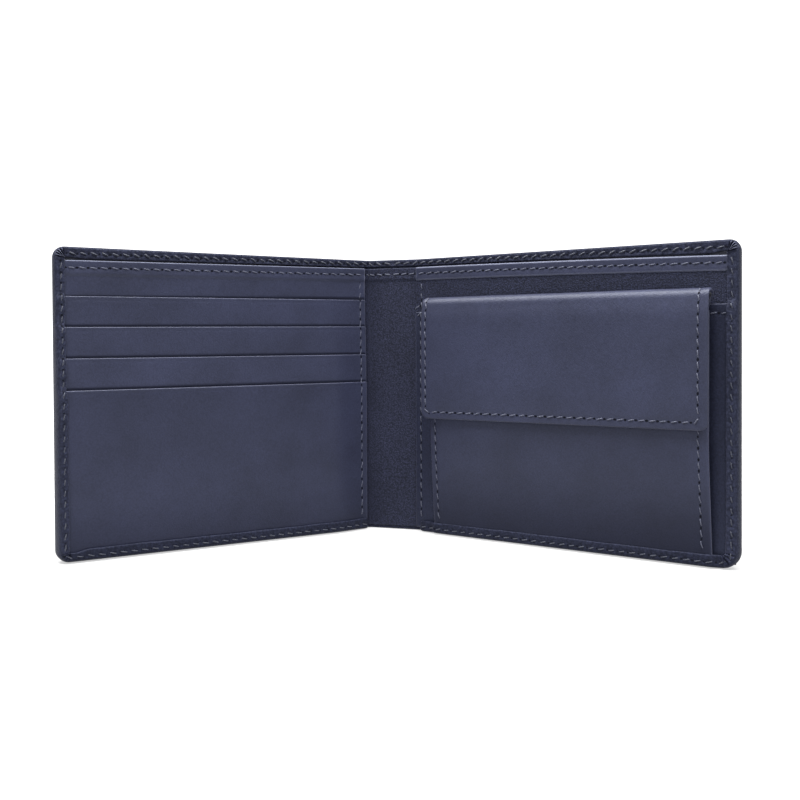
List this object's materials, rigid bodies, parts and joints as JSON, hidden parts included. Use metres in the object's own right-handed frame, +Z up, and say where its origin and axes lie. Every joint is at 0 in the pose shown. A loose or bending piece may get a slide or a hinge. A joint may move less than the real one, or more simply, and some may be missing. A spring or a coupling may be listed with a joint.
{
  "type": "bifold wallet",
  "caption": "Leather billfold that folds at a spine strip, with stepped card slots on one half and a flapped coin pouch on the other.",
  "frame": {"origin": "middle of the open wallet's bounding box, on the surface that its bottom edge stands on", "axes": "+X along the open wallet from the card half to the coin half, +Y from the inside towards the spine, +Z up"},
  "size_m": [0.1964, 0.0648, 0.092],
  "materials": {
    "smooth_leather": "smooth satin, very fine grain",
    "grained_leather": "matte, pebbled",
    "lining_fabric": "matte fine weave",
    "thread": "tone-on-tone waxed thread",
    "snap_nickel": "satin nickel plate"
  },
  "bodies": {
    "spine": {"cover_spine": "smooth_leather", "bill_lining_spine": "lining_fabric", "divider_spine": "grained_leather", "hem_thread_spine": "thread", "top_thread_spine": "thread"},
    "left_half": {"cover_left": "smooth_leather", "bill_lining_left": "lining_fabric", "divider_left": "grained_leather", "card_slot_1": "smooth_leather", "card_slot_2": "smooth_leather", "card_slot_3": "smooth_leather", "card_front_panel": "smooth_leather", "card_tongue_1": "lining_fabric", "card_tongue_2": "lining_fabric", "card_tongue_3": "lining_fabric", "hem_thread_left": "thread", "top_thread_left": "thread", "edge_thread_left": "thread", "card_thread": "thread"},
    "right_half": {"cover_right": "smooth_leather", "bill_lining_right": "lining_fabric", "divider_right": "grained_leather", "slip_pocket": "smooth_leather", "pouch_back": "smooth_leather", "pouch_gusset_inner": "smooth_leather", "pouch_gusset_outer": "smooth_leather", "flap_roll": "smooth_leather", "hem_thread_right": "thread", "top_thread_right": "thread", "edge_thread_right": "thread", "panel_thread": "thread", "slip_thread_inner": "thread", "slip_thread_outer": "thread"},
    "pouch_front_wall": {"pouch_front": "smooth_leather", "pouch_lining": "lining_fabric", "snap_stud": "snap_nickel", "snap_eyelet": "snap_nickel", "pouch_thread_inner": "thread", "pouch_thread_outer": "thread"},
    "flap": {"coin_flap": "smooth_leather", "flap_lining": "lining_fabric", "snap_socket": "snap_nickel", "flap_thread": "thread"}
  },
  "joints": [
    {"name": "left_fold", "type": "hinge", "parent": "spine", "child": "left_half", "pos_m": [-0.00947, 0.03213, 0], "axis": [0, 0, 1], "range_deg": [-46.7, 43.3]},
    {"name": "right_fold", "type": "hinge", "parent": "spine", "child": "right_half", "pos_m": [0.00777, 0.02751, 0], "axis": [0, 0, -1], "range_deg": [-16.7, 73.3]},
    {"name": "flap_lift", "type": "hinge", "parent": "right_half", "child": "flap", "pos_m": [0.00455, 0.0223, 0.07583], "axis": [-0.8508, 0.5255, 0], "range_deg": [0, 180], "deforming": ["flap_roll"]},
    {"name": "pouch_open", "type": "hinge", "parent": "right_half", "child": "pouch_front_wall", "pos_m": [0.00451, 0.02223, 0.0046], "axis": [0.8508, -0.5255, 0], "range_deg": [0, 3.6], "deforming": ["pouch_gusset_inner", "pouch_gusset_outer"]}
  ],
  "couplings": [
    {"joint": "pouch_open", "follows": "flap_lift", "ratio": 0.02}
  ]
}
